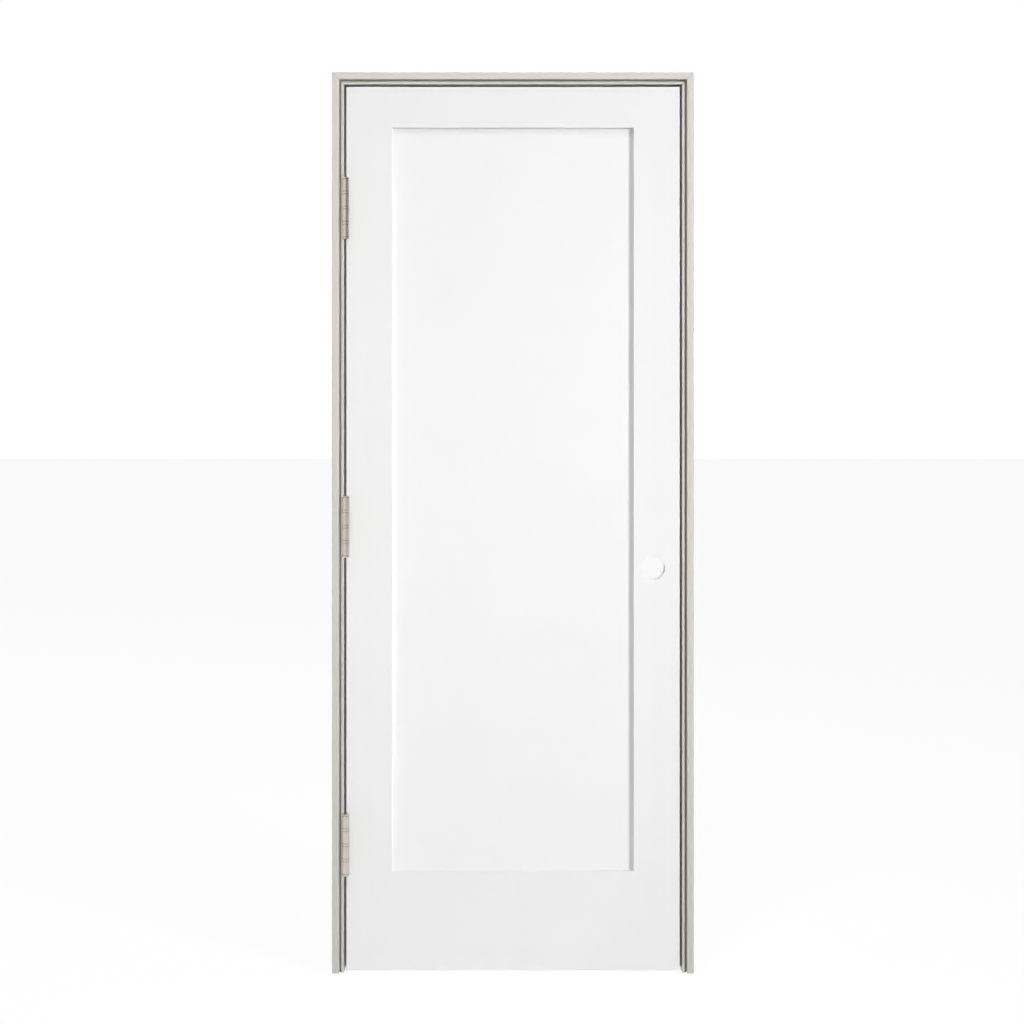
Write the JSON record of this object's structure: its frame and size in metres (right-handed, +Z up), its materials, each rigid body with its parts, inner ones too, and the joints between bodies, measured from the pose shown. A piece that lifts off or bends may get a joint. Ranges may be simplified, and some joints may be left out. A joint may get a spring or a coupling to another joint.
{
  "type": "prehung shaker door",
  "caption": "Single-panel shaker door slab hung on butt hinges in a mitred steel frame with clip-on casings, bored for a lock, for an interior doorway.",
  "frame": {"origin": "on the wall side of the hinge jamb's front flange, in the middle of the sight line, at floor level", "axes": "+X from the hinge side to the lock side, +Y through the wall away from the pull side, +Z up"},
  "size_m": [0.8249, 0.1546, 2.0545],
  "materials": {
    "slab_paint": "solid moulded-fibre slab, smooth satin white factory primer",
    "frame_paint": "baked satin enamel, light grey",
    "casing_paint": "baked satin enamel, warm off-white",
    "hinge_nickel": "satin nickel plate",
    "zinc_steel": "bare galvanised sheet",
    "silencer_rubber": "moulded grey rubber"
  },
  "bodies": {
    "frame": {"hinge_jamb": "frame_paint", "strike_jamb": "frame_paint", "head_jamb": "frame_paint", "front_casing_hinge_side": "casing_paint", "front_casing_strike_side": "casing_paint", "front_casing_head": "casing_paint", "rear_casing_hinge_side": "casing_paint", "rear_casing_strike_side": "casing_paint", "rear_casing_head": "casing_paint", "top_hinge_frame_leaf": "hinge_nickel", "middle_hinge_frame_leaf": "hinge_nickel", "bottom_hinge_frame_leaf": "hinge_nickel", "top_hinge_pin": "hinge_nickel", "middle_hinge_pin": "hinge_nickel", "bottom_hinge_pin": "hinge_nickel", "top_hinge_plate": "zinc_steel", "middle_hinge_plate": "zinc_steel", "bottom_hinge_plate": "zinc_steel", "strike_plate": "hinge_nickel", "strike_box": "zinc_steel", "silencers": "silencer_rubber", "hinge_side_corner_bracket": "zinc_steel", "strike_side_corner_bracket": "zinc_steel"},
    "door": {"hinge_stile": "slab_paint", "lock_stile": "slab_paint", "top_rail": "slab_paint", "bottom_rail": "slab_paint", "panel": "slab_paint", "top_hinge_door_leaf": "hinge_nickel", "middle_hinge_door_leaf": "hinge_nickel", "bottom_hinge_door_leaf": "hinge_nickel"}
  },
  "joints": [
    {"name": "door_swing", "type": "hinge", "parent": "frame", "child": "door", "pos_m": [0.01925, -0.0184, 1.019], "axis": [0, 0, -1], "range_deg": [0, 180]}
  ]
}
